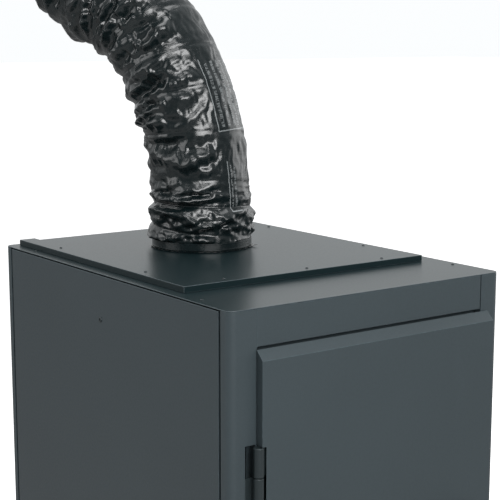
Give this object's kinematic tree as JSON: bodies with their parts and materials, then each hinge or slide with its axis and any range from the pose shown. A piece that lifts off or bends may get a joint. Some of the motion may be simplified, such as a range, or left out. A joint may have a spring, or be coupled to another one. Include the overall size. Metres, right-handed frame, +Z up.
{
  "type": "printer enclosure cabinet",
  "caption": "Floor-standing 3D printer enclosure cabinet in folded steel, with a hinged lockable door, a shelf, an air inlet and a flexible exhaust duct on a raised roof plate.",
  "frame": {"origin": "on the floor, in the middle of the whole object's box", "axes": "+X to the right along the front, +Y to the back, +Z up; the door is on the -Y side"},
  "size_m": [0.603, 0.9361, 1.6868],
  "materials": {
    "graphite_powder_coat": "satin fine-textured powder coat",
    "roof_powder_coat": "satin fine-textured powder coat",
    "black_hardware": "black semi-gloss",
    "zinc_plated_steel": "zinc-plated, lightly brushed",
    "black_duct_film": "glossy crumpled film",
    "black_foam": "matte closed-cell foam",
    "filter_mat": "matte fibre mat",
    "black_rubber": "matte"
  },
  "bodies": {
    "cabinet": {"back_panel": "graphite_powder_coat", "base_pan": "graphite_powder_coat", "cable_gland": "black_rubber", "door_seal_frame": "graphite_powder_coat", "duct_clamp_lower": "black_hardware", "duct_clamp_upper": "black_hardware", "duct_outlet_flange": "zinc_plated_steel", "duct_wire_helix": "zinc_plated_steel", "exhaust_plate": "roof_powder_coat", "exhaust_spigot": "zinc_plated_steel", "flexible_duct": "black_duct_film", "foot_front_left": "black_rubber", "foot_front_right": "black_rubber", "foot_rear_left": "black_rubber", "foot_rear_right": "black_rubber", "front_bottom_rail": "graphite_powder_coat", "front_top_rail": "graphite_powder_coat", "hinge_lower_frame_leaf": "black_hardware", "hinge_lower_pin": "zinc_plated_steel", "hinge_upper_frame_leaf": "black_hardware", "hinge_upper_pin": "zinc_plated_steel", "inlet_filter": "filter_mat", "inlet_grille": "black_hardware", "plate_screw_1": "black_hardware", "plate_screw_2": "black_hardware", "plate_screw_3": "black_hardware", "plate_screw_4": "black_hardware", "plate_screw_5": "black_hardware", "plate_screw_6": "black_hardware", "plate_screw_7": "black_hardware", "post_front_left": "graphite_powder_coat", "post_front_right": "graphite_powder_coat", "post_rear_left": "graphite_powder_coat", "post_rear_right": "graphite_powder_coat", "rear_roof_strip": "roof_powder_coat", "roof_panel": "roof_powder_coat", "roof_screw_front_left": "black_hardware", "roof_screw_front_right": "black_hardware", "roof_screw_rear_left": "black_hardware", "roof_screw_rear_right": "black_hardware", "shelf": "graphite_powder_coat", "shelf_rail_left": "graphite_powder_coat", "shelf_rail_right": "graphite_powder_coat", "side_fastener_left": "black_hardware", "side_fastener_right": "black_hardware", "side_panel_left": "graphite_powder_coat", "side_panel_right": "graphite_powder_coat"},
    "door": {"door_skin": "graphite_powder_coat", "door_inner_pan": "graphite_powder_coat", "door_stiffener_hinge_side": "graphite_powder_coat", "door_stiffener_latch_side": "graphite_powder_coat", "door_gasket": "black_foam", "hinge_upper_door_leaf": "black_hardware", "hinge_lower_door_leaf": "black_hardware", "latch_escutcheon": "black_hardware"},
    "latch": {"latch_handle": "black_hardware", "latch_cam": "zinc_plated_steel", "latch_shaft": "zinc_plated_steel"},
    "key": {"key_cylinder": "zinc_plated_steel"}
  },
  "joints": [
    {"name": "door_hinge", "type": "hinge", "parent": "cabinet", "child": "door", "pos_m": [-0.25, -0.42975, 0.56], "axis": [0, 0, -1], "range_deg": [0, 120]},
    {"name": "latch_turn", "type": "hinge", "parent": "door", "child": "latch", "pos_m": [0.212, -0.43725, 0.56], "axis": [0, -1, 0], "range_deg": [0, 90]},
    {"name": "key_turn", "type": "hinge", "parent": "latch", "child": "key", "pos_m": [0.212, -0.46575, 0.56], "axis": [0, -1, 0], "range_deg": [0, 90]}
  ]
}
